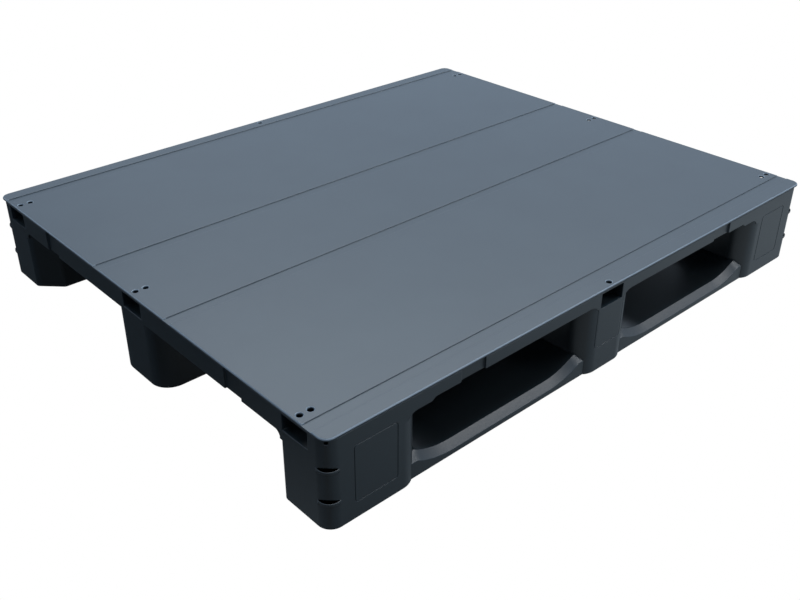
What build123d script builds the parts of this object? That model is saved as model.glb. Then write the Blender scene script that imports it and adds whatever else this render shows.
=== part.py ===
from build123d import *
import os
from math import sqrt

os.makedirs("parts", exist_ok=True)

# Plastic pallet, 1200 x 1000 x 160 mm, closed deck, nine feet and three runners.
# X runs along the runners, Y across them, Z up. The origin is on the floor, under
# the middle of the deck.

# Overall size
length = 1200
width = 1000
height = 160
tolerance = 0.01

# Deck plate
deck_thickness = 4
deck_corner = 16
deck_edge_round = 2.5
groove_width = 20
groove_depth = 1.5
groove_centres = (113.4, 460.8)
deck_hole_radius = 4.9
deck_hole_round = 1.8
end_hole_x = (569.7, 588.1)
side_hole_y = 488.4
deck_bottom = height - deck_thickness

# Skirt and rib grid under the deck; the ribs carry the plate just above the skirt
skirt_top = 154
skirt_gap = 1.5
skirt_wall = 4
skirt_x = length / 2 - skirt_gap
skirt_y = width / 2 - skirt_gap
inner_x = skirt_x - skirt_wall
inner_y = skirt_y - skirt_wall
outer_corner = 23
foot_top = 117.5
pad_top = 120.5
rib_bottom = 133
rib_thickness = 3
ribs_per_bay_x = 5
ribs_per_bay_y = 3

# Channels for the reinforcement tubes, and their mouths in the skirt
channel_y = 432.5
channel_width = 56
channel_floor = 123.5
mouth_height = 28
channel_wall = 3
channel_outside = channel_width + 2 * channel_wall

# Feet
column_edge = 425
row_edge = 363
middle_half_x = 64
middle_half_y = 68
foot_wall = 4
side_round = 36.5
inner_round = 30
corner_cut = 39
cut_round = 10
web_radius = 12
screw_pitch_x = 60
screw_pitch_y = 64
boss_radius = 8
boss_top = 60

# Windows in the long sides, above the runners
window_start = 30
window_end = 452
window_start_reach = 25
window_end_reach = 16.5
window_step_x = (400.5, 407.5)
window_step_z = 128
window_step_round = 5

# Recessed panels in the skirt, and the engraved frames on the feet
recess_depth = 3.5
long_recess_x = 325
long_recess_width = 50
short_recess_y = 286.5
short_recess_width = 41
recess_backing = 5
engraving_width = 1.4
engraving_depth = 1
engraving_round = 6
corner_panel_x = (472, 551)
corner_panel_z = (28, 127)
middle_panel_half = 34
middle_panel_bottom = 47

# Wrap catches on the outer corners of the corner feet
catch_tops = (48, 103)
catch_height = 4.5
catch_radius = 18.5
catch_shift = 7.5
catch_pocket_depth = 3.2
catch_scoop = 5
catch_lip = 1.8

# Notches in the corners of the skirt
notch_width = 5
notch_bottom = 147

# Runners
runner_inset = 7
runner_mid_top = 21
runner_end_top = 40
runner_flat = 108
runner_chamfer = 12
runner_overlap = 17
pad_height = 12
pocket_depth = 15
pocket_length = 76
pocket_width = 46
pocket_pitch_x = 86
pocket_pitch_y = 56
pockets_per_bay = 4
pocket_round = 5

# Steel reinforcement tubes
tube_width = 50
tube_height = 30
tube_wall = 2
tube_round = 4
tube_half_length = 540
cross_tube_clearance = 3
stop_thickness = 3
stop_height = 24
long_stops_x = (-450, -300, -150, 150, 300, 450)
cross_stops_y = (120, 310)

# Runner screws
screw_radius = 3
screw_hole_radius = 3.3
pilot_radius = 3.1
screw_head_radius = 6.2
screw_head_height = 3
screw_head_recess = 7
counterbore_depth = 5
screw_length = 40
pilot_top = 48
hex_across = 5
hex_depth = 1.6

columns = {"left": -1, "middle": 0, "right": 1}
rows = {"front": -1, "middle": 0, "rear": 1}


def span(side, outside, inside, half, inset):
    """Return the outer and inner limits of a foot along one axis."""
    if side == 0:
        return half - inset, -half + inset
    return side * (outside - inset), side * (inside + inset)


def foot_outline(sx, sy, inset=0):
    """Draw the plan outline of the foot in column sx and row sy, pulled in by inset."""
    x_out, x_in = span(sx, skirt_x, column_edge, middle_half_x, inset)
    y_out, y_in = span(sy, skirt_y, row_edge, middle_half_y, inset)
    big = side_round - inset
    small = inner_round - inset
    points = [(x_out, y_out), (x_in, y_out), (x_in, y_in)]
    if sx and sy:
        cut = corner_cut - inset * (2 - sqrt(2))
        points += [(x_out - sx * cut, y_in), (x_out, y_in + sy * cut)]
        radii = [outer_corner - inset, big, small, cut_round, cut_round]
    else:
        points += [(x_out, y_in)]
        outer_x = big if sx else small
        outer_y = big if sy else small
        radii = [max(outer_x, outer_y), outer_y, small, outer_x]
    FilletPolyline(*points, radius=radii, close=True)


def foot_centre(sx, sy):
    """Return the middle of a foot in plan."""
    x_out, x_in = span(sx, skirt_x, column_edge, middle_half_x, 0)
    y_out, y_in = span(sy, skirt_y, row_edge, middle_half_y, 0)
    return (x_out + x_in) / 2, (y_out + y_in) / 2


def screw_points(sx, sy):
    """Return the four screw positions under a foot."""
    cx, cy = foot_centre(sx, sy)
    dx = screw_pitch_x / 2
    dy = screw_pitch_y / 2
    return [(cx + i * dx, cy + j * dy) for i in (-1, 1) for j in (-1, 1)]


def side_plane(side):
    """Return a sketch plane on a long side of the skirt: x along X, y up, facing out."""
    return Plane(origin=(0, side * skirt_y, 0), x_dir=(-side, 0, 0), z_dir=(0, side, 0))


def end_plane(side):
    """Return a sketch plane on a short side of the skirt: x along Y, y up, facing out."""
    return Plane(origin=(side * skirt_x, 0, 0), x_dir=(0, side, 0), z_dir=(side, 0, 0))


def corner_plane(sx, sy, z):
    """Return a level plane at the centre of an outer corner's round, with x along the diagonal."""
    corner_x = sx * (skirt_x - outer_corner)
    corner_y = sy * (skirt_y - outer_corner)
    return Plane(origin=(corner_x, corner_y, z), x_dir=(sx, sy, 0), z_dir=(0, 0, 1))


def frame_line(x_low, x_high, z_low, z_high):
    """Sketch a thin rounded frame, for an engraved panel outline."""
    size_x = x_high - x_low
    size_z = z_high - z_low
    with Locations(((x_low + x_high) / 2, (z_low + z_high) / 2)):
        RectangleRounded(size_x, size_z, engraving_round)
        RectangleRounded(
            size_x - 2 * engraving_width,
            size_z - 2 * engraving_width,
            engraving_round - engraving_width,
            mode=Mode.SUBTRACT,
        )


def engraving(sx, sy):
    """Return the sketch of a foot's panel outline, on the long side sy."""
    with BuildSketch(side_plane(sy)) as outline:
        if sx:
            low, high = sorted(-sy * sx * x for x in corner_panel_x)
            frame_line(low, high, *corner_panel_z)
        else:
            top = channel_floor + engraving_round
            frame_line(-middle_panel_half, middle_panel_half, middle_panel_bottom, top)
            with Locations((0, top)):
                Rectangle(2 * middle_panel_half, 2 * engraving_round, mode=Mode.SUBTRACT)
    return outline.sketch


# ---------------------------------------------------------------- deck plate
with BuildPart() as deck_plate:
    with BuildSketch(Plane.XY.offset(deck_bottom)):
        RectangleRounded(length, width, deck_corner)
    extrude(amount=deck_thickness)
    top_rim = deck_plate.faces().sort_by(Axis.Z)[-1].edges()
    fillet(top_rim, deck_edge_round)
    # Four shallow grooves run the whole length of the deck.
    with BuildSketch(Plane.XY.offset(height)):
        for offset_y in groove_centres:
            with Locations((0, -offset_y), (0, offset_y)):
                Rectangle(length, groove_width)
    extrude(amount=-groove_depth, mode=Mode.SUBTRACT)
    # Drain holes over the mouths of the channels.
    hole_points = [
        (side * x, y) for side in (-1, 1) for x in end_hole_x for y in (-channel_y, 0, channel_y)
    ]
    hole_points += [(0, -side_hole_y), (0, side_hole_y)]
    with BuildSketch(Plane.XY.offset(height)):
        with Locations(*hole_points):
            Circle(deck_hole_radius)
    extrude(amount=-deck_thickness, mode=Mode.SUBTRACT)
    hole_rims = [
        edge
        for edge in deck_plate.edges().filter_by(GeomType.CIRCLE)
        if edge.center().Z > deck_bottom + tolerance
        and abs(edge.radius - deck_hole_radius) < tolerance
    ]
    fillet(hole_rims, deck_hole_round)

# ---------------------------------------------------------------- base frame
with BuildPart() as base_frame:
    # Rib grid and channel walls, over the full depth of the channels.
    bay_x = (inner_x - channel_outside / 2) / (ribs_per_bay_x + 1)
    bay_y = (channel_y - channel_outside) / (ribs_per_bay_y + 1)
    rib_x = [channel_outside / 2 + bay_x * (i + 1) for i in range(ribs_per_bay_x)]
    rib_y = [channel_outside / 2 + bay_y * (i + 1) for i in range(ribs_per_bay_y)]
    wall_shift = (channel_width + channel_wall) / 2
    with BuildSketch(Plane.XY.offset(pad_top)):
        with Locations(*[(side * x, 0) for side in (-1, 1) for x in rib_x]):
            Rectangle(rib_thickness, 2 * inner_y)
        with Locations(*[(0, side * y) for side in (-1, 1) for y in rib_y]):
            Rectangle(2 * inner_x, rib_thickness)
        for y in (-channel_y, 0, channel_y):
            with Locations((0, y - wall_shift), (0, y + wall_shift)):
                Rectangle(2 * inner_x, channel_wall)
        with Locations((-wall_shift, 0), (wall_shift, 0)):
            Rectangle(channel_wall, 2 * inner_y)
    extrude(amount=deck_bottom - pad_top)
    # Skirt.
    with BuildSketch(Plane.XY.offset(foot_top)):
        RectangleRounded(2 * skirt_x, 2 * skirt_y, outer_corner)
        RectangleRounded(2 * inner_x, 2 * inner_y, outer_corner - skirt_wall, mode=Mode.SUBTRACT)
    extrude(amount=skirt_top - foot_top)
    # Windows in the long sides.
    step_start, step_end = window_step_x
    for side in (-1, 1):
        for half in (-1, 1):
            with BuildSketch(side_plane(side)):
                with BuildLine():
                    TangentArc(
                        (half * (window_start + window_start_reach), rib_bottom),
                        (half * window_start, foot_top),
                        tangent=(-half, 0),
                    )
                    FilletPolyline(
                        (half * (window_start + window_start_reach), rib_bottom),
                        (half * step_start, rib_bottom),
                        (half * step_end, window_step_z),
                        (half * (window_end - window_end_reach), window_step_z),
                        radius=window_step_round,
                    )
                    TangentArc(
                        (half * (window_end - window_end_reach), window_step_z),
                        (half * window_end, foot_top),
                        tangent=(half, 0),
                    )
                    Line((half * window_end, foot_top), (half * window_start, foot_top))
                make_face()
            extrude(amount=-skirt_wall, mode=Mode.SUBTRACT)
    # Raise the ribs over the fork ways.
    long_way = (inner_x - channel_outside / 2, row_edge - middle_half_y)
    cross_way = (column_edge - middle_half_x, channel_y - channel_outside)
    edge_way = (column_edge - middle_half_x, inner_y - channel_y - channel_outside / 2)
    with BuildSketch(Plane.XY.offset(pad_top)):
        for sx in (-1, 1):
            for sy in (-1, 1):
                with Locations(
                    (sx * (channel_outside / 2 + long_way[0] / 2), sy * (row_edge + middle_half_y) / 2)
                ):
                    Rectangle(*long_way)
                with Locations((sx * (column_edge + middle_half_x) / 2, sy * channel_y / 2)):
                    Rectangle(*cross_way)
                with Locations(
                    (sx * (column_edge + middle_half_x) / 2, sy * (inner_y - edge_way[1] / 2))
                ):
                    Rectangle(*edge_way)
    extrude(amount=rib_bottom - pad_top, mode=Mode.SUBTRACT)
    # Thicker skirt behind the recessed panels.
    for sx in (-1, 1):
        for sy in (-1, 1):
            with BuildSketch(Plane.XY.offset(foot_top)):
                with Locations((sx * (inner_x - recess_backing / 2), sy * short_recess_y)):
                    Rectangle(recess_backing, short_recess_width + 2 * skirt_wall)
            extrude(amount=skirt_top - foot_top)
            with BuildSketch(Plane.XY.offset(rib_bottom)):
                with Locations((sx * long_recess_x, sy * (inner_y - recess_backing / 2))):
                    Rectangle(long_recess_width + 2 * skirt_wall, recess_backing)
            extrude(amount=skirt_top - rib_bottom)
    # Landing pads on the feet, whose walls go on up to the ribs, and the channel floors.
    for sx in columns.values():
        for sy in rows.values():
            with BuildSketch(Plane.XY.offset(foot_top)):
                with BuildLine():
                    foot_outline(sx, sy)
                make_face()
            extrude(amount=pad_top - foot_top)
            with BuildSketch(Plane.XY.offset(pad_top)):
                with BuildLine():
                    foot_outline(sx, sy)
                make_face()
                with BuildLine():
                    foot_outline(sx, sy, foot_wall)
                make_face(mode=Mode.SUBTRACT)
            extrude(amount=rib_bottom - pad_top)
    with BuildSketch(Plane.XY.offset(pad_top)):
        with Locations(*[(0, y) for y in (-channel_y, 0, channel_y)]):
            Rectangle(2 * inner_x, channel_outside)
        Rectangle(channel_outside, 2 * inner_y)
    extrude(amount=channel_floor - pad_top)
    # Clear the channels.
    with BuildSketch(Plane.XY.offset(channel_floor)):
        with Locations(*[(0, y) for y in (-channel_y, 0, channel_y)]):
            Rectangle(2 * inner_x, channel_width)
        Rectangle(channel_width, 2 * inner_y)
    extrude(amount=deck_bottom - channel_floor, mode=Mode.SUBTRACT)
    # Channel mouths through the skirt.
    mouth_z = channel_floor + mouth_height / 2
    with BuildSketch(Plane.YZ):
        with Locations(*[(y, mouth_z) for y in (-channel_y, 0, channel_y)]):
            Rectangle(channel_width, mouth_height)
    extrude(amount=skirt_x, both=True, mode=Mode.SUBTRACT)
    with BuildSketch(Plane.XZ):
        with Locations((0, mouth_z)):
            Rectangle(channel_width, mouth_height)
    extrude(amount=skirt_y, both=True, mode=Mode.SUBTRACT)
    # Stops beside the tubes.
    stop_depth = (channel_width - tube_width) / 2
    stop_shift = tube_width / 2 + stop_depth / 2
    with BuildSketch(Plane.XY.offset(channel_floor)):
        for y in (-channel_y, 0, channel_y):
            for x in long_stops_x:
                with Locations((x, y - stop_shift), (x, y + stop_shift)):
                    Rectangle(stop_thickness, stop_depth)
        for side in (-1, 1):
            for y in cross_stops_y:
                with Locations((-stop_shift, side * y), (stop_shift, side * y)):
                    Rectangle(stop_depth, stop_thickness)
    extrude(amount=stop_height)
    # A small notch in each corner of the skirt, under the corner of the deck plate.
    for sx in (-1, 1):
        for sy in (-1, 1):
            with BuildSketch(corner_plane(sx, sy, notch_bottom)):
                with Locations((outer_corner - skirt_wall / 2, 0)):
                    Rectangle(2 * skirt_wall, notch_width)
            extrude(amount=skirt_top - notch_bottom, mode=Mode.SUBTRACT)
    # Recessed panels in the outer faces.
    panel_z = (foot_top + skirt_top) / 2
    panel_height = skirt_top - foot_top
    for side in (-1, 1):
        with BuildSketch(side_plane(side)):
            with Locations((-long_recess_x, panel_z), (long_recess_x, panel_z)):
                Rectangle(long_recess_width, panel_height)
        extrude(amount=-recess_depth, mode=Mode.SUBTRACT)
        with BuildSketch(end_plane(side)):
            with Locations((-short_recess_y, panel_z), (short_recess_y, panel_z)):
                Rectangle(short_recess_width, panel_height)
        extrude(amount=-recess_depth, mode=Mode.SUBTRACT)
    # Tops of the engraved panels.
    for sy in (-1, 1):
        for sx in columns.values():
            extrude(engraving(sx, sy), amount=-engraving_depth, mode=Mode.SUBTRACT)

# ---------------------------------------------------------------- runners
runners = {}
for row, sy in rows.items():
    y_out, y_in = span(sy, skirt_y, row_edge, middle_half_y, runner_inset)
    bar_centre = (y_out + y_in) / 2
    bar_width = abs(y_out - y_in)
    bay_half = (column_edge - middle_half_x) / 2
    bay_centre = (column_edge + middle_half_x) / 2
    end_half = bay_half + runner_overlap
    with BuildPart() as runner:
        # The bar in each bay is low in the middle and sweeps up to the feet.
        for side in (-1, 1):
            bar_plane = Plane(
                origin=(side * bay_centre, bar_centre, 0), x_dir=(1, 0, 0), z_dir=(0, -1, 0)
            )
            with BuildSketch(bar_plane):
                with BuildLine():
                    Line((-runner_flat, runner_mid_top), (runner_flat, runner_mid_top))
                    TangentArc(
                        (runner_flat, runner_mid_top), (bay_half, runner_end_top), tangent=(1, 0)
                    )
                    Polyline(
                        (bay_half, runner_end_top),
                        (end_half, runner_end_top),
                        (end_half, 0),
                        (-end_half, 0),
                        (-end_half, runner_end_top),
                        (-bay_half, runner_end_top),
                    )
                    TangentArc(
                        (-runner_flat, runner_mid_top), (-bay_half, runner_end_top), tangent=(-1, 0)
                    )
                make_face()
            extrude(amount=bar_width / 2, both=True)
        long_edges = [
            edge
            for edge in runner.edges()
            if edge.center().Z > runner_mid_top - 1
            and abs(abs(edge.center().Y - bar_centre) - bar_width / 2) < tolerance
        ]
        chamfer(long_edges, runner_chamfer)
        # Pads fill the bottoms of the feet.
        for sx in columns.values():
            with BuildSketch():
                with BuildLine():
                    foot_outline(sx, sy, foot_wall)
                make_face()
            extrude(amount=pad_height)
        # Pockets under the bars.
        with BuildSketch():
            for side in (-1, 1):
                with Locations((side * bay_centre, bar_centre)):
                    with GridLocations(pocket_pitch_x, pocket_pitch_y, pockets_per_bay, 2):
                        RectangleRounded(pocket_length, pocket_width, pocket_round)
        extrude(amount=pocket_depth, mode=Mode.SUBTRACT)
        # Screw holes, counterbored from below.
        for sx in columns.values():
            with Locations(*[Location((x, y, 0), (180, 0, 0)) for x, y in screw_points(sx, sy)]):
                CounterBoreHole(screw_hole_radius, screw_head_recess, counterbore_depth, pad_height)
    runner.part.label = row + "_runner"
    runners[row] = runner.part

# ---------------------------------------------------------------- feet
feet = {}
for row, sy in rows.items():
    for column, sx in columns.items():
        cx, cy = foot_centre(sx, sy)
        with BuildPart() as foot:
            with BuildSketch():
                with BuildLine():
                    foot_outline(sx, sy)
                make_face()
            extrude(amount=foot_top)
            with BuildSketch():
                with BuildLine():
                    foot_outline(sx, sy, foot_wall)
                make_face()
            extrude(amount=foot_top - foot_wall, mode=Mode.SUBTRACT)
            # Ribs and screw bosses inside.
            x_out, x_in = span(sx, skirt_x, column_edge, middle_half_x, 0)
            y_out, y_in = span(sy, skirt_y, row_edge, middle_half_y, 0)
            with BuildSketch(Plane.XY.offset(pad_height)):
                with Locations(*[(cx + i * screw_pitch_x / 2, cy) for i in (-1, 1)]):
                    Rectangle(rib_thickness, abs(y_out - y_in))
                with Locations(*[(cx, cy + i * screw_pitch_y / 2) for i in (-1, 1)]):
                    Rectangle(abs(x_out - x_in), rib_thickness)
                with BuildLine():
                    foot_outline(sx, sy, foot_wall / 2)
                make_face(mode=Mode.INTERSECT)
            extrude(amount=foot_top - foot_wall - pad_height)
            with BuildSketch(Plane.XY.offset(pad_height)):
                with Locations(*screw_points(sx, sy)):
                    Circle(boss_radius)
            extrude(amount=boss_top - pad_height)
            with BuildSketch(Plane.XY.offset(pad_height)):
                with Locations(*screw_points(sx, sy)):
                    Circle(pilot_radius)
            extrude(amount=pilot_top - pad_height, mode=Mode.SUBTRACT)
            if sy:
                extrude(engraving(sx, sy), amount=-engraving_depth, mode=Mode.SUBTRACT)
            if sx and sy:
                # A small web blends the foot into the short side of the skirt.
                web_start = row_edge + corner_cut - cut_round * (sqrt(2) - 1)
                web_plane = end_plane(sx)
                local = sx * sy
                with BuildSketch(web_plane):
                    with BuildLine():
                        Polyline(
                            (local * (web_start - web_radius), foot_top),
                            (local * (web_start + cut_round), foot_top),
                            (local * (web_start + cut_round), foot_top - web_radius),
                            (local * web_start, foot_top - web_radius),
                        )
                        RadiusArc(
                            (local * (web_start - web_radius), foot_top),
                            (local * web_start, foot_top - web_radius),
                            local * web_radius,
                        )
                    make_face()
                extrude(amount=-foot_wall)
                # Wrap catches on the outer corner: a lip, a pocket behind it and a scoop above.
                chord = (catch_shift**2 + outer_corner**2 - catch_radius**2) / (2 * catch_shift)
                for top in catch_tops:
                    lip_plane = corner_plane(sx, sy, top)
                    for radius, drop, mode in (
                        (catch_radius, catch_height, Mode.ADD),
                        (catch_radius - catch_lip, catch_pocket_depth, Mode.SUBTRACT),
                    ):
                        with BuildSketch(lip_plane):
                            with Locations((catch_shift, 0)):
                                Circle(radius)
                            with Locations((chord - catch_radius, 0)):
                                Rectangle(2 * catch_radius, 2 * catch_radius, mode=Mode.SUBTRACT)
                        extrude(amount=-drop, mode=mode)
                    scoop_plane = Plane(
                        origin=lip_plane.origin, x_dir=lip_plane.x_dir, z_dir=-lip_plane.y_dir
                    )
                    with BuildSketch(scoop_plane):
                        with BuildLine():
                            Polyline(
                                (chord, 0),
                                (outer_corner + catch_shift, 0),
                                (outer_corner + catch_shift, catch_scoop),
                                (outer_corner, catch_scoop),
                                close=True,
                            )
                        make_face()
                    extrude(amount=catch_radius, both=True, mode=Mode.SUBTRACT)
            # The runner passes through the walls between the feet.
            add(runners[row], mode=Mode.SUBTRACT)
        foot.part.label = f"{row}_{column}_foot"
        feet[foot.part.label] = foot.part

# ---------------------------------------------------------------- steel tubes
tubes = {}
for row, y in zip(rows, (-channel_y, 0, channel_y)):
    with BuildPart() as tube:
        with BuildSketch(Plane.YZ.offset(-tube_half_length)):
            with Locations((y, channel_floor + tube_height / 2)):
                RectangleRounded(tube_width, tube_height, tube_round)
                RectangleRounded(
                    tube_width - 2 * tube_wall,
                    tube_height - 2 * tube_wall,
                    tube_round - tube_wall,
                    mode=Mode.SUBTRACT,
                )
        extrude(amount=2 * tube_half_length)
    tube.part.label = row + "_tube"
    tubes[tube.part.label] = tube.part

cross_start = tube_width / 2 + cross_tube_clearance
cross_end = channel_y - tube_width / 2 - cross_tube_clearance
for name, side in (("front_cross_tube", -1), ("rear_cross_tube", 1)):
    with BuildPart() as cross_tube:
        cross_plane = Plane(
            origin=(0, side * cross_start, 0), x_dir=(-side, 0, 0), z_dir=(0, side, 0)
        )
        with BuildSketch(cross_plane):
            with Locations((0, channel_floor + tube_height / 2)):
                RectangleRounded(tube_width, tube_height, tube_round)
                RectangleRounded(
                    tube_width - 2 * tube_wall,
                    tube_height - 2 * tube_wall,
                    tube_round - tube_wall,
                    mode=Mode.SUBTRACT,
                )
        extrude(amount=cross_end - cross_start)
    cross_tube.part.label = name
    tubes[name] = cross_tube.part

# ---------------------------------------------------------------- runner screws
screws = {}
for row, sy in rows.items():
    points = [point for sx in columns.values() for point in screw_points(sx, sy)]
    with BuildPart() as screw_set:
        with BuildSketch(Plane.XY.offset(counterbore_depth - screw_head_height)):
            with Locations(*points):
                Circle(screw_head_radius)
        extrude(amount=screw_head_height)
        with BuildSketch(Plane.XY.offset(counterbore_depth)):
            with Locations(*points):
                Circle(screw_radius)
        extrude(amount=screw_length)
        with BuildSketch(Plane.XY.offset(counterbore_depth - screw_head_height)):
            with Locations(*points):
                RegularPolygon(hex_across / sqrt(3), 6)
        extrude(amount=hex_depth, mode=Mode.SUBTRACT)
    screw_set.part.label = row + "_runner_screws"
    screws[screw_set.part.label] = screw_set.part

# ---------------------------------------------------------------- write the parts
deck_plate.part.label = "deck_plate"
base_frame.part.label = "base_frame"
export_step(deck_plate.part, "parts/deck_plate.step")
export_step(base_frame.part, "parts/base_frame.step")
for row, part in runners.items():
    export_step(part, f"parts/{row}_runner.step")
for group in (feet, tubes, screws):
    for name, part in group.items():
        export_step(part, f"parts/{name}.step")
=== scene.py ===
import math

import bmesh
import bpy
from mathutils.bvhtree import BVHTree
from mathutils.kdtree import KDTree
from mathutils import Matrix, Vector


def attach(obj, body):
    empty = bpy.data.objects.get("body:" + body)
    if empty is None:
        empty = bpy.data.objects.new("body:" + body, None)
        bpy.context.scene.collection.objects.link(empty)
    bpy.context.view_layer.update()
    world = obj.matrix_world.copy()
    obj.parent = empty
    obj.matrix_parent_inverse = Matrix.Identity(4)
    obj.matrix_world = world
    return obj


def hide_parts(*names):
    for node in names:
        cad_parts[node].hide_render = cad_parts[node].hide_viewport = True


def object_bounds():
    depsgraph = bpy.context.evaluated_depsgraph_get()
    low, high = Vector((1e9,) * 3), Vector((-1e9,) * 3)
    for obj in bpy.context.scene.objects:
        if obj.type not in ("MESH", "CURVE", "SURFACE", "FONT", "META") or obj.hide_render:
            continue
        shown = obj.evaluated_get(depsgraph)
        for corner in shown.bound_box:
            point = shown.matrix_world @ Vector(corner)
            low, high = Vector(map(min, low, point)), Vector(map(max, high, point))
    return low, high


# Looks of the plastic pallet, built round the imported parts. Metres, Z up.
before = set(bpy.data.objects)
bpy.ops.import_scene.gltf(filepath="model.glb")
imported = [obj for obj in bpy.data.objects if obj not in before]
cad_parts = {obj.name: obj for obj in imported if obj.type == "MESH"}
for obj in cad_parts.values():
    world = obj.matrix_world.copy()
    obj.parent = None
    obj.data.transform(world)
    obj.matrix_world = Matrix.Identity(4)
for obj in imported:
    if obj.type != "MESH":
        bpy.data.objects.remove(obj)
cad_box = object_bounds()
half_size = tuple(cad_box[1])[:2]
half_length, half_width = half_size

# Camera
camera_place = (-1.1815, -1.2764, 0.9489)
camera_pitch = math.radians(30.26)
camera_heading = math.radians(47.98)
camera_lens = 43.87
camera_shift = (0.0078, -0.0137)

# Suns: strength, angular size, and the tilt that turns a straight-down light
key_sun = (0.8, math.radians(26), (math.radians(9), 0, 0))
side_sun = (0.9, math.radians(20), (math.radians(50), 0, math.radians(49)))

# Softbox: behind the pallet and above it, facing its middle
softbox_size = (3.4, 1.2)
softbox_power = 66
softbox_colour = (0.86, 0.94, 1)
softbox_distance = 3.2
softbox_rise = math.radians(56)
softbox_heading = math.radians(42)

# Sky: its strength as plain light, and as it is mirrored in the object
sky_colour = (0.65, 0.77, 0.93, 1)
sky_strength = 0.1
sky_mirrored = 1.21

# Floor: what the camera sees, what is mirrored in the object, and what lights it from below
floor_size = 40
floor_gap = 0.002
floor_white = (1, 1, 1, 1)
bounce_grey = (0.06, 0.06, 0.06, 1)

# The mirrored floor grows brighter along +X and -Y
sheen_colour = (0.84, 0.96, 1.05, 1)
sheen_from = -0.6
sheen_to = 1.3
sheen_low = 0.06
sheen_high = 0.66

# Rounded edges of the mouldings
edge_round = 0.0009
edge_segments = 2
edge_share = 0.35
sharp_angle = math.radians(28)
flat_angle = math.radians(0.5)
weld_distance = 0.00001
face_weighting = 100

# The level joint between the feet and the base frame, which stays unrounded
joint_height = 0.1175
joint_tolerance = 0.0001

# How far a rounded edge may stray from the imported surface, and how often that is looked at
stray_limit = 0.0011
settle_rounds = 4

# Colours of the plastics, linear
# The deck is given lighter colours than the frame: painted light on its upward face, as the plastic is
# one colour
deck_dark = (0.019, 0.034, 0.050, 1)
deck_light = (0.023, 0.040, 0.057, 1)
frame_dark = (0.011, 0.021, 0.029, 1)
frame_light = (0.014, 0.025, 0.034, 1)
# Painted highlight on the rounded edges of the deck and of its holes
painted_rim_highlight = (0.2, 0.27, 0.35, 1)
# Painted shade on everything well inside the outer faces of the frame and runners
painted_shade = (0.004, 0.007, 0.009, 1)

# Surface of the plastics: noise scales are in patches per metre
plastic_roughness = 0.4
roughness_swing = 0.04
patch_scale = 9
speckle_scale = 1400
wave_scale = 14
wave_strength = 0.05
wave_height = 0.002
grain_scale = 1100
grain_strength = 0.1
grain_height = 0.0002

# Where the deck's outer edge, its end holes and its side holes begin
edge_from = half_length - 0.006
end_holes_from = half_length - 0.04
side_holes_from = half_width - 0.025

# The end holes stand in rows, one over each row of feet
row_pitch = 0.4325
row_reach = 0.012

# Upward lean of a rounded edge: it begins past the first, is whole between the middle two
rim_lean = (0.1, 0.4, 0.93, 0.99)

# Depths inside the footprint where the painted shade begins and is complete
frame_shade_depths = (0.004, 0.009)
runner_shade_depths = (0.008, 0.03)

# Zinc-coated steel: the streaks of a tube run along X, a screw has none
# The tube is toned darker than zinc: painted shade for where it lies inside the channels
tube_shaded_tone = (0.24, 0.25, 0.26, 1)
tube_roughness = 0.55
tube_stretch = (0.05, 1, 1)
screw_tone = (0.58, 0.58, 0.56, 1)
screw_roughness = 0.35
screw_stretch = (1, 1, 1)
streak_scale = 40
streak_shade = 0.75
streak_swing = 0.08
streak_strength = 0.1
streak_height = 0.0002

# Sockets of the Mix node that carry colour
mix_a, mix_b, mix_result = 6, 7, 2


# ------------------------------------------------------------------ materials
class Nodes:
    """Short calls that add nodes to a tree."""

    def __init__(self, tree):
        self.tree = tree

    def node(self, kind, **values):
        """Add a node; values are its settings or its inputs."""
        made = self.tree.nodes.new("ShaderNode" + kind)
        for key, value in values.items():
            if hasattr(made, key):
                setattr(made, key, value)
            else:
                made.inputs[key.replace("_", " ")].default_value = value
        return made

    def link(self, source, target):
        self.tree.links.new(source, target)

    def place(self):
        """Where the point is, in the object's own axes."""
        return self.node("TexCoord").outputs["Object"]

    def split(self, vector):
        """The X, Y and Z of a vector."""
        made = self.node("SeparateXYZ")
        self.link(vector, made.inputs["Vector"])
        return tuple(made.outputs)

    def work_out(self, operation, first, second=0.0):
        """One step of arithmetic on sockets or numbers."""
        made = self.node("Math", operation=operation)
        for socket, value in zip(made.inputs, (first, second)):
            if isinstance(value, float):
                socket.default_value = value
            else:
                self.link(value, socket)
        return made.outputs["Value"]

    def remap(self, value, low, high, low_out, high_out):
        """Stretch low to high onto low_out to high_out, and stop at both ends."""
        made = self.node(
            "MapRange", From_Min=low, From_Max=high, To_Min=low_out, To_Max=high_out
        )
        self.link(value, made.inputs["Value"])
        return made.outputs["Result"]


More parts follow.
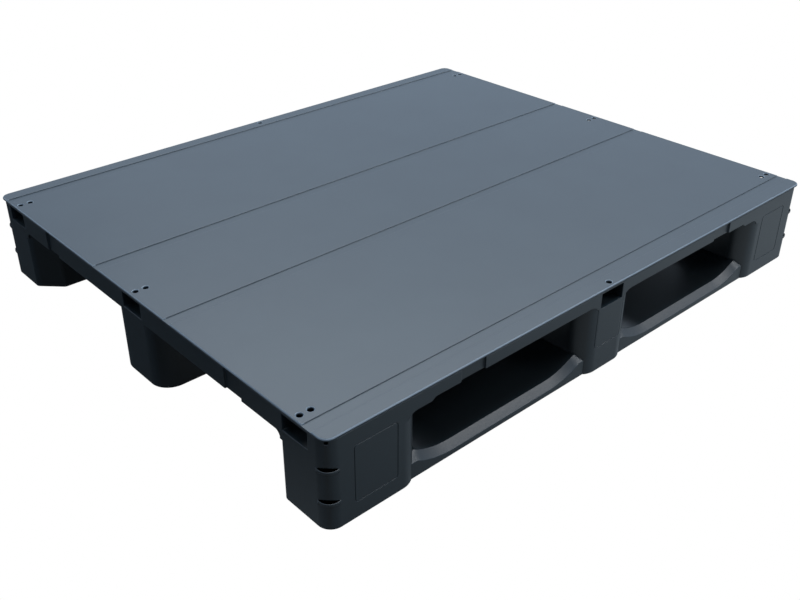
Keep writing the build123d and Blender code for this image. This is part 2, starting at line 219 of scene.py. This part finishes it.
class Recipe(Nodes):
    """One procedural material."""

    def __init__(self, name, roughness, metallic=0.0):
        self.material = bpy.data.materials.new(name)
        self.material.use_nodes = True
        super().__init__(self.material.node_tree)
        self.shader = self.tree.nodes["Principled BSDF"]
        self.shader.inputs["Roughness"].default_value = roughness
        self.shader.inputs["Metallic"].default_value = metallic

    def noise(self, scale, detail=2.0, stretch=(1, 1, 1)):
        """Noise from 0 to 1, with scale in patches per metre."""
        mapping = self.node("Mapping", Scale=stretch)
        self.link(self.place(), mapping.inputs["Vector"])
        made = self.node("TexNoise", Scale=scale, Detail=detail)
        self.link(mapping.outputs["Vector"], made.inputs["Vector"])
        return made.outputs["Fac"]

    def mix(self, factor, first, second):
        """A colour between first and second; each is a colour or a socket."""
        made = self.node("Mix", data_type="RGBA")
        self.link(factor, made.inputs[0])
        for index, value in ((mix_a, first), (mix_b, second)):
            if isinstance(value, tuple):
                made.inputs[index].default_value = value
            else:
                self.link(value, made.inputs[index])
        return made.outputs[mix_result]

    def outward(self):
        """How far out along X and Y the point is."""
        x, y, _ = self.split(self.place())
        return self.work_out("ABSOLUTE", x), self.work_out("ABSOLUTE", y)

    def rounded_rim(self):
        """1 on the rounded edges of the deck and of its holes, where a highlight is painted."""
        out_x, out_y = self.outward()
        lean = self.split(self.node("NewGeometry").outputs["Normal"])[2]
        begins, whole_from, whole_to, ends = rim_lean
        leaning = self.work_out(
            "MULTIPLY",
            self.remap(lean, begins, whole_from, 0, 1),
            self.remap(lean, whole_to, ends, 1, 0),
        )
        off_row = self.work_out("PINGPONG", out_y, row_pitch / 2)
        end_holes = self.work_out(
            "MULTIPLY",
            self.work_out("GREATER_THAN", out_x, end_holes_from),
            self.work_out("LESS_THAN", off_row, row_reach),
        )
        end_edges = self.work_out("GREATER_THAN", out_x, edge_from)
        sides = self.work_out("GREATER_THAN", out_y, side_holes_from)
        outer = self.work_out("MAXIMUM", self.work_out("MAXIMUM", end_edges, end_holes), sides)
        return self.work_out("MULTIPLY", leaning, outer)

    def depth(self, shade_depths):
        """From 0 on the outer faces to 1 well inside them: where the painted shade falls."""
        beyond = (self.work_out("SUBTRACT", out, half) for out, half in zip(self.outward(), half_size))
        begins, complete = shade_depths
        return self.remap(self.work_out("MAXIMUM", *beyond), -begins, -complete, 0, 1)

    def bump(self, height, strength, distance, under=None):
        made = self.node("Bump", Strength=strength, Distance=distance)
        self.link(height, made.inputs["Height"])
        if under is not None:
            self.link(under, made.inputs["Normal"])
        return made.outputs["Normal"]

    def finish(self, colour, roughness, normal):
        self.link(colour, self.shader.inputs["Base Color"])
        self.link(roughness, self.shader.inputs["Roughness"])
        self.link(normal, self.shader.inputs["Normal"])
        return self.material


def plastic(name, dark, light, rim=None, shade_depths=None):
    """Moulded plastic with faint patches of tone and a fine grain.

    A given edge colour is a painted highlight on the deck's rounded edges; given depths, a painted shade
    darkens everything well inside the outer faces.
    """
    made = Recipe(name, plastic_roughness)
    patches = made.remap(made.noise(patch_scale, 4), 0.3, 0.7, 0, 1)
    colour = made.mix(patches, dark, light)
    # Painted highlight on the deck's rounded edges
    if rim is not None:
        colour = made.mix(made.rounded_rim(), colour, rim)
    # Painted shade well inside the outer faces
    if shade_depths is not None:
        colour = made.mix(made.depth(shade_depths), colour, painted_shade)
    smoothest = plastic_roughness - roughness_swing
    roughest = plastic_roughness + roughness_swing
    speckle = made.remap(made.noise(speckle_scale, 1), 0.35, 0.65, smoothest, roughest)
    waves = made.bump(made.noise(wave_scale, 1), wave_strength, wave_height)
    normal = made.bump(made.noise(grain_scale, 2), grain_strength, grain_height, waves)
    return made.finish(colour, speckle, normal)


def steel(name, tone, roughness, stretch):
    """Zinc-coated steel with drawn streaks."""
    made = Recipe(name, roughness, metallic=1.0)
    streaks = made.noise(streak_scale, 4, stretch)
    darker = tuple(streak_shade * c for c in tone[:3]) + (1,)
    colour = made.mix(streaks, darker, tone)
    sheen = made.remap(streaks, 0.3, 0.7, roughness - streak_swing, roughness + streak_swing)
    normal = made.bump(streaks, streak_strength, streak_height)
    return made.finish(colour, sheen, normal)


deck_plastic = plastic("deck_plastic", deck_dark, deck_light, rim=painted_rim_highlight)
frame_plastic = plastic("frame_plastic", frame_dark, frame_light, shade_depths=frame_shade_depths)
runner_plastic = plastic("runner_plastic", frame_dark, frame_light, shade_depths=runner_shade_depths)
# The tube's steel carries painted shade in its darker tone
tube_steel = steel("tube_steel", tube_shaded_tone, tube_roughness, tube_stretch)
screw_steel = steel("screw_steel", screw_tone, screw_roughness, screw_stretch)


# ------------------------------------------------------------------ mouldings
def reach(face, edge):
    """How far a face goes from one of its edges."""
    start = edge.verts[0].co
    along = (edge.verts[1].co - start).normalized()
    return max(((v.co - start) - along * (v.co - start).dot(along)).length for v in face.verts)


def edge_weight(edge):
    """The share of the full radius that an edge takes: less where a face beside it is narrow."""
    if len(edge.link_faces) != 2 or edge.calc_face_angle() < sharp_angle:
        return 0.0
    if all(abs(v.co.z - joint_height) < joint_tolerance for v in edge.verts):
        return 0.0
    narrowest = min(reach(face, edge) for face in edge.link_faces)
    return min(1.0, edge_share * narrowest / edge_round)


def settle(piece, surface):
    """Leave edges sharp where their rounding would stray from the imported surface."""
    packed = BVHTree.FromPolygons(
        [v.co for v in surface.vertices], [p.vertices for p in surface.polygons]
    )
    mesh = piece.data
    corners = KDTree(len(mesh.vertices))
    for vertex in mesh.vertices:
        corners.insert(vertex.co, vertex.index)
    corners.balance()
    weights = mesh.attributes["bevel_weight_edge"].data
    for _ in range(settle_rounds):
        rounded = piece.evaluated_get(bpy.context.evaluated_depsgraph_get()).data
        strays = {v.index for v in rounded.vertices if packed.find_nearest(v.co)[3] > stray_limit}
        if not strays:
            return
        at_stray = [edge for edge in rounded.edges if strays.intersection(edge.vertices)]
        joined = {i for edge in at_stray for i in edge.vertices}
        blamed = {corners.find(rounded.vertices[i].co)[1] for i in joined}
        for edge in mesh.edges:
            if blamed.intersection(edge.vertices):
                weights[edge.index].value = 0
                edge.use_edge_sharp = True
        mesh.update()
        piece.update_tag()


def moulding(node, material):
    """Make the shown piece of a moulded part, with its edges rounded as a mould leaves them."""
    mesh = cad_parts[node].data.copy()
    mesh.materials.clear()
    work = bmesh.new()
    work.from_mesh(mesh)
    bmesh.ops.remove_doubles(work, verts=work.verts, dist=weld_distance)
    bmesh.ops.dissolve_limit(
        work, angle_limit=flat_angle, verts=work.verts, edges=work.edges, use_dissolve_boundaries=False
    )
    weights = work.edges.layers.float.new("bevel_weight_edge")
    for edge in work.edges:
        edge[weights] = edge_weight(edge)
        edge.smooth = edge[weights] > 0 or edge.calc_face_angle(0) < sharp_angle
    for face in work.faces:
        face.smooth = True
    work.to_mesh(mesh)
    work.free()
    mesh.materials.append(material)
    piece = bpy.data.objects.new(node + "_moulding", mesh)
    bpy.context.scene.collection.objects.link(piece)
    rounding = piece.modifiers.new("rounded edges", "BEVEL")
    rounding.limit_method = "WEIGHT"
    rounding.width = edge_round
    rounding.segments = edge_segments
    rounding.use_clamp_overlap = False
    shading = piece.modifiers.new("flat faces stay flat", "WEIGHTED_NORMAL")
    shading.keep_sharp = True
    shading.weight = face_weighting
    settle(piece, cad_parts[node].data)
    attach(piece, "root")
    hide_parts(node)


moulding("deck_plate", deck_plastic)
moulding("base_frame", frame_plastic)
for row in ("front", "middle", "rear"):
    moulding(row + "_runner", runner_plastic)
    for column in ("left", "middle", "right"):
        moulding(f"{row}_{column}_foot", frame_plastic)

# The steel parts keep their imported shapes.
for name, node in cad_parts.items():
    if name.endswith(("_tube", "_screws")):
        node.data.materials.clear()
        node.data.materials.append(tube_steel if name.endswith("_tube") else screw_steel)


# ------------------------------------------------------------------ studio
def add_to_scene(name, data):
    made = bpy.data.objects.new(name, data)
    bpy.context.scene.collection.objects.link(made)
    return made


def floor_sheet(name, height, shader, colour):
    """A large level sheet with one plain shader."""
    half = floor_size / 2
    corners = [(-half, -half, height), (half, -half, height), (half, half, height), (-half, half, height)]
    mesh = bpy.data.meshes.new(name)
    mesh.from_pydata(corners, [], [(0, 1, 2, 3)])
    material = bpy.data.materials.new(name)
    material.use_nodes = True
    tree = material.node_tree
    tree.nodes.clear()
    made = tree.nodes.new(shader)
    made.inputs["Color"].default_value = colour
    output = tree.nodes.new("ShaderNodeOutputMaterial")
    tree.links.new(made.outputs[0], output.inputs["Surface"])
    mesh.materials.append(material)
    sheet = add_to_scene(name, mesh)
    return sheet


def brighten_across(sheet):
    """Let a glowing sheet grow brighter from the left rear to the right front."""
    made = Nodes(sheet.active_material.node_tree)
    x, y, _ = made.split(made.place())
    side = made.work_out("SUBTRACT", x, y)
    glow = made.remap(side, sheen_from, sheen_to, sheen_low, sheen_high)
    made.link(glow, made.tree.nodes["Emission"].inputs["Strength"])


def sun(name, strength, softness, tilt):
    light = bpy.data.lights.new(name, "SUN")
    light.energy = strength
    light.angle = softness
    add_to_scene(name, light).rotation_euler = tilt


# The camera sees an even white floor. Just under it, one sheet is mirrored in the object
# and another lights it from below.
white_floor = floor_sheet("white_floor", -floor_gap, "ShaderNodeEmission", floor_white)
white_floor.visible_diffuse = False
white_floor.visible_glossy = False
white_floor.visible_shadow = False
sheen_floor = floor_sheet("sheen_floor", -2 * floor_gap, "ShaderNodeEmission", sheen_colour)
sheen_floor.visible_camera = False
sheen_floor.visible_diffuse = False
sheen_floor.visible_shadow = False
brighten_across(sheen_floor)
bounce_floor = floor_sheet("bounce_floor", -3 * floor_gap, "ShaderNodeBsdfDiffuse", bounce_grey)
bounce_floor.visible_camera = False

sky = bpy.data.worlds.new("sky")
sky.use_nodes = True
sky_nodes = Nodes(sky.node_tree)
sky_background = sky.node_tree.nodes["Background"]
sky_background.inputs["Color"].default_value = sky_colour
is_mirrored = sky_nodes.node("LightPath").outputs["Is Glossy Ray"]
sky_light = sky_nodes.remap(is_mirrored, 0, 1, sky_strength, sky_mirrored)
sky_nodes.link(sky_light, sky_background.inputs["Strength"])
bpy.context.scene.world = sky

sun("key", *key_sun)
sun("side", *side_sun)

softbox = bpy.data.lights.new("softbox", "AREA")
softbox.shape = "RECTANGLE"
softbox.size, softbox.size_y = softbox_size
softbox.energy = softbox_power
softbox.color = softbox_colour
softbox_holder = add_to_scene("softbox", softbox)
softbox_reach = softbox_distance * math.cos(softbox_rise)
softbox_holder.location = (
    softbox_reach * math.cos(softbox_heading),
    softbox_reach * math.sin(softbox_heading),
    softbox_distance * math.sin(softbox_rise),
)
softbox_holder.rotation_euler = (math.pi / 2 - softbox_rise, 0, softbox_heading + math.pi / 2)

camera = bpy.data.cameras.new("camera")
camera.lens = camera_lens
camera.shift_x, camera.shift_y = camera_shift
camera_holder = add_to_scene("camera", camera)
camera_holder.location = camera_place
camera_holder.rotation_euler = (math.pi / 2 - camera_pitch, 0, camera_heading - math.pi / 2)
bpy.context.scene.camera = camera_holder
bpy.context.scene.view_settings.view_transform = "Standard"
